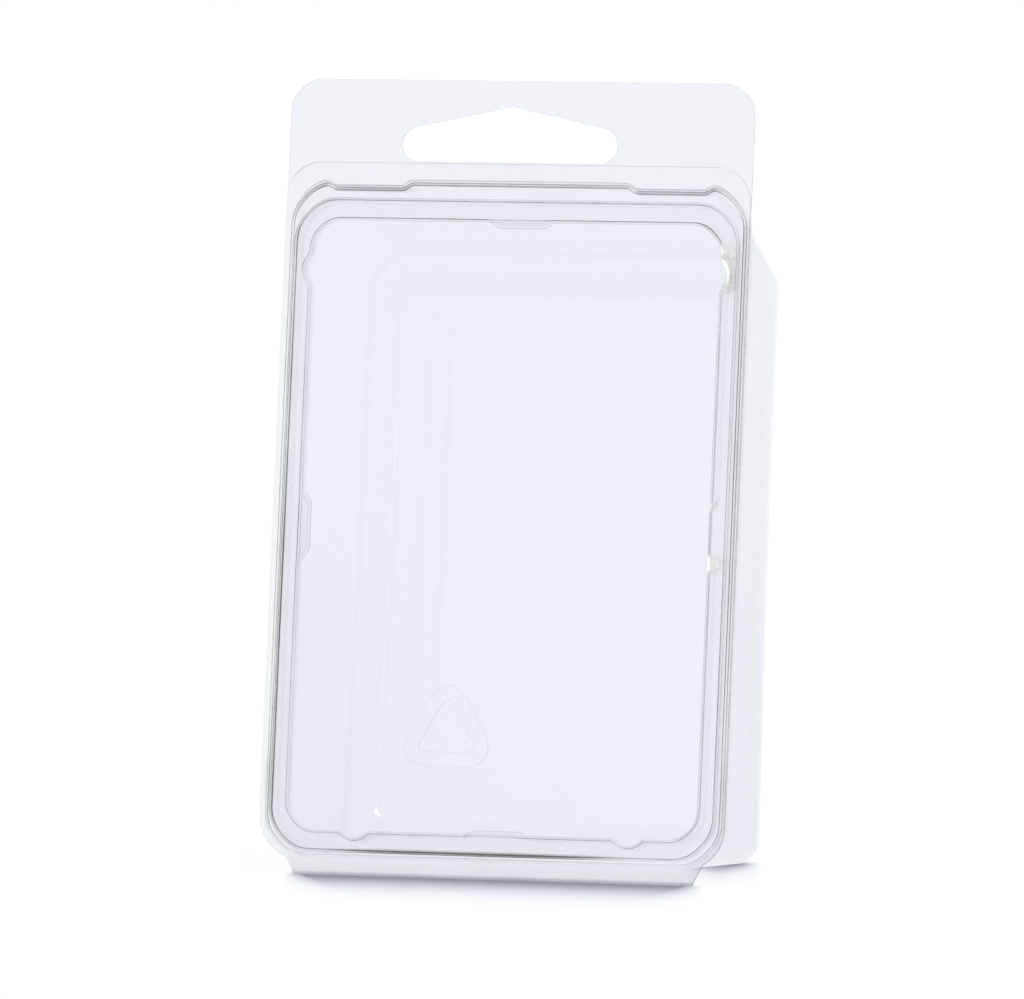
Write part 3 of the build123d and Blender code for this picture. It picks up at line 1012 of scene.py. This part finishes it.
def floor_finish():
    """White floor that the eye mostly sees through to the white surround, that glows in reflections and is lit
    for all other light, shaded beside the two lines that carry the pack."""
    finish = Finish(bpy.data.materials.new("white_floor"))
    place = finish.node("ShaderNodeTexCoord", {}, {}, "Object")
    across = finish.node("ShaderNodeSeparateXYZ", {}, {0: place}, "X")
    along = finish.node("ShaderNodeSeparateXYZ", {}, {0: place}, "Y")
    at_fold = contact_shade(across, along, fold_line[1], *FOLD_SPAN)
    at_rear = contact_shade(across, along, REAR_FOOT, *REAR_SPAN, REAR_SOFT)
    shade = SHADE_DEPTH * at_fold.at_least(at_rear)
    lit = finish.node("ShaderNodeBsdfDiffuse", {}, {"Color": WHITE})
    glow = finish.node("ShaderNodeEmission", {}, {"Color": WHITE, "Strength": 1})
    tone = finish.node("ShaderNodeMix", {"data_type": "RGBA"}, {0: shade, 6: SHADE_RIM, 7: SHADE_CORE}, 2)
    dark = finish.node("ShaderNodeEmission", {}, {"Color": tone, "Strength": 1})
    seen = finish.mixed(shade, finish.see_through(WHITE), dark)
    by_eye, by_mirror, by_glass = (
        finish.node("ShaderNodeLightPath", {}, {}, "Is " + kind + " Ray")
        for kind in ("Camera", "Glossy", "Transmission")
    )
    unseen = finish.mixed(by_mirror.at_least(by_glass) * FLOOR_GLOW, lit, glow)
    both = finish.mixed(by_eye * FLOOR_GLOW, unseen, seen)
    finish.node("ShaderNodeOutputMaterial", {}, {"Surface": both})
    return finish.owner


floor_mesh = bpy.data.meshes.new("floor")
corners = [(x * FLOOR_HALF, y * FLOOR_HALF, 0) for x, y in ((-1, -1), (1, -1), (1, 1), (-1, 1))]
floor_mesh.from_pydata(corners, [], [(0, 1, 2, 3)])
floor_mesh.materials.append(floor_finish())
floor = bpy.data.objects.new("floor", floor_mesh)
bpy.context.scene.collection.objects.link(floor)
print("floor in m:", 2 * FLOOR_HALF)

# %% Surround
world = bpy.data.worlds.new("studio")
bpy.context.scene.world = world
surround = Finish(world)
background = surround.node("ShaderNodeBackground", {}, {"Color": WHITE, "Strength": 1})
surround.node("ShaderNodeOutputWorld", {}, {"Surface": background})
print("surround:", world.name)

# %% [markdown]
# ## Lights
# The white surround gives most of the light, from all sides. Clear plastic is lit as much by what it mirrors
# as by what falls on it, so two large soft lamps, one high and one low at the right, add broad pale
# reflections to the bends. Small hard lamps would leave points of light that a soft studio does not.

# %% Lamps
PACK_MIDDLE = np.array([0, 0, 0.055])
LAMPS = {
    "key_light": ((0.6, -0.6, 0.9), 0.6, 3.0),
    "side_light": ((0.9, -0.75, 0.2), 0.9, 1.5),
}


def soft_box(name, place, size, power):
    """Square area light at a place, turned to face the pack's middle."""
    lamp = bpy.data.lights.new(name, "AREA")
    lamp.size, lamp.energy = size, power
    holder = bpy.data.objects.new(name, lamp)
    holder.location = place
    way = PACK_MIDDLE - np.array(place)
    tilt = math.acos(-way[2] / np.linalg.norm(way))
    holder.rotation_euler = tilt, 0, math.atan2(way[0], -way[1]) + math.pi
    bpy.context.scene.collection.objects.link(holder)


for name, (place, size, power) in LAMPS.items():
    soft_box(name, place, size, power)
    print(name, "in W:", power)

# %% [markdown]
# ## Camera
# The picture was taken from a little above and from the pack's right, with a long lens, which keeps upright
# lines nearly parallel. The lens is given in pixels, because that is how it is measured in a picture, and the
# camera's three ways are worked out from its two angles and a small roll.

# %% Camera
AZIMUTH, ELEVATION, ROLL = (math.radians(angle) for angle in (17.78, 5.25, -0.415))
DISTANCE = 1.891
AIM_RIGHT, AIM_UP = -0.0034053, -0.003176
FOCAL_PIXELS = 13297.5
IMAGE_WIDTH = 1024
SENSOR_WIDTH = 36
CLIP_START, CLIP_END = 0.1, 30
back_way = np.array([
    math.sin(AZIMUTH) * math.cos(ELEVATION), -math.cos(AZIMUTH) * math.cos(ELEVATION), math.sin(ELEVATION),
])
level_right = np.array([math.cos(AZIMUTH), math.sin(AZIMUTH), 0])
level_up = np.cross(back_way, level_right)
camera_right = math.cos(ROLL) * level_right + math.sin(ROLL) * level_up
camera_up = math.cos(ROLL) * level_up - math.sin(ROLL) * level_right
eye = PACK_MIDDLE + AIM_RIGHT * level_right + AIM_UP * level_up + DISTANCE * back_way

lens = bpy.data.cameras.new("photo_camera")
lens.sensor_width = SENSOR_WIDTH
lens.lens = FOCAL_PIXELS * SENSOR_WIDTH / IMAGE_WIDTH
lens.clip_start, lens.clip_end = CLIP_START, CLIP_END
camera = bpy.data.objects.new("photo_camera", lens)
placing = np.eye(4)
placing[:3] = np.column_stack([camera_right, camera_up, back_way, eye])
camera.matrix_world = [list(row) for row in placing.T]
bpy.context.scene.collection.objects.link(camera)
bpy.context.scene.camera = camera
bpy.context.scene.view_settings.view_transform = "Standard"
print("lens in mm:", round(lens.lens, 1))
